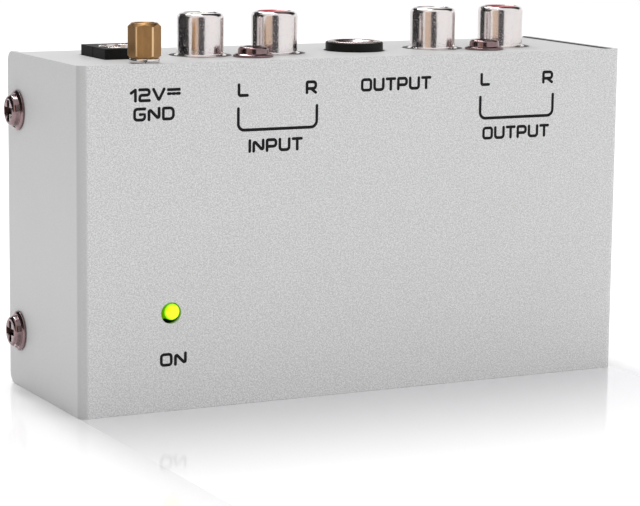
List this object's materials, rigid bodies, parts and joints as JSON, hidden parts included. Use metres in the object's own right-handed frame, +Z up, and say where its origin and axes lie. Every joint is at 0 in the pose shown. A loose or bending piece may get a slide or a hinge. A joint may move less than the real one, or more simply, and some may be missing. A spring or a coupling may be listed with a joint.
{
  "type": "phono preamp",
  "caption": "Small sheet-metal phono preamp with phono sockets, a 6.35 mm jack, a power socket, a ground post and a lamp, standing on its long side.",
  "frame": {"origin": "centre of the standing face, the long narrow side that the box stands on", "axes": "+X right along the lettered front, +Y to the back plate, +Z up through the connector panel"},
  "size_m": [0.11, 0.0364, 0.0667],
  "materials": {
    "case_paint": "fine textured silver grey powder coat",
    "screw_steel": "dark nickel",
    "socket_metal": "bright nickel plate",
    "white_plastic": "moulded white",
    "red_plastic": "moulded red",
    "black_plastic": "moulded black",
    "contact_metal": "tinned spring bronze",
    "brass": "turned brass",
    "washer_steel": "zinc plate",
    "board_laminate": "green solder mask",
    "chip_plastic": "matt black epoxy",
    "capacitor_sleeve": "dark shrink sleeve",
    "film_plastic": "red dipped film",
    "ceramic_coat": "ochre dip",
    "resistor_coat": "pale blue lacquer",
    "lamp_lens": "green-yellow lens",
    "foot_rubber": "black rubber"
  },
  "bodies": {
    "root": {"front_cover": "case_paint", "base_chassis": "case_paint", "case_screws": "screw_steel", "jack_screws": "screw_steel", "phono_centre_contacts": "contact_metal", "phono_solder_tails": "contact_metal", "phono_block_input": "black_plastic", "phono_block_output": "black_plastic", "trs_jack_body": "black_plastic", "trs_jack_bush": "socket_metal", "trs_jack_collar": "black_plastic", "trs_sleeve_contact": "contact_metal", "power_jack_body": "black_plastic", "power_jack_pin": "socket_metal", "power_jack_ring": "socket_metal", "ground_stud": "brass", "ground_inner_nut": "washer_steel", "ground_lug": "contact_metal", "main_board": "board_laminate", "board_standoffs": "brass", "board_screws": "screw_steel", "power_lamp": "lamp_lens", "lamp_leads": "contact_metal", "lamp_spacer": "black_plastic", "amplifier_chips": "chip_plastic", "electrolytic_capacitors": "capacitor_sleeve", "film_capacitors": "film_plastic", "ceramic_capacitors": "ceramic_coat", "resistors": "resistor_coat", "voltage_regulator": "chip_plastic", "polarity_diode": "chip_plastic", "rubber_feet": "foot_rubber", "phono_shell_input_left": "socket_metal", "phono_insert_input_left": "white_plastic", "phono_shell_input_right": "socket_metal", "phono_insert_input_right": "red_plastic", "phono_shell_output_left": "socket_metal", "phono_insert_output_left": "white_plastic", "phono_shell_output_right": "socket_metal", "phono_insert_output_right": "red_plastic"},
    "ground_washer": {"ground_lock_washer": "washer_steel"},
    "ground_nut": {"ground_post_nut": "brass"},
    "tip_spring": {"trs_tip_spring": "contact_metal"},
    "ring_spring": {"trs_ring_spring": "contact_metal"},
    "power_spring": {"power_jack_spring": "contact_metal"}
  },
  "joints": [
    {"name": "ground_nut_lift", "type": "slide", "parent": "root", "child": "ground_washer", "axis": [0, 0, 1], "range_m": [0, 0.002]},
    {"name": "ground_nut_turn", "type": "hinge", "parent": "ground_washer", "child": "ground_nut", "pos_m": [-0.0394, -0.012, 0.0602], "axis": [0, 0, 1], "range_deg": [0, 1441]},
    {"name": "tip_spring_bend", "type": "hinge", "parent": "root", "child": "tip_spring", "pos_m": [0.0112, -0.0005, 0.05195], "axis": [0, -1, 0], "range_deg": [0, 4.5], "stiffness_Nm_per_rad": 0.1},
    {"name": "ring_spring_bend", "type": "hinge", "parent": "root", "child": "ring_spring", "pos_m": [0.002, -0.0005, 0.05195], "axis": [0, 1, 0], "range_deg": [0, 7.5], "stiffness_Nm_per_rad": 0.04},
    {"name": "power_spring_bend", "type": "hinge", "parent": "root", "child": "power_spring", "pos_m": [-0.0388, -0.0028, 0.05765], "axis": [-1, 0, 0], "range_deg": [0, 6], "stiffness_Nm_per_rad": 0.04}
  ],
  "couplings": [
    {"joint": "ground_nut_turn", "follows": "ground_nut_lift", "rad_per_m": 12566}
  ]
}
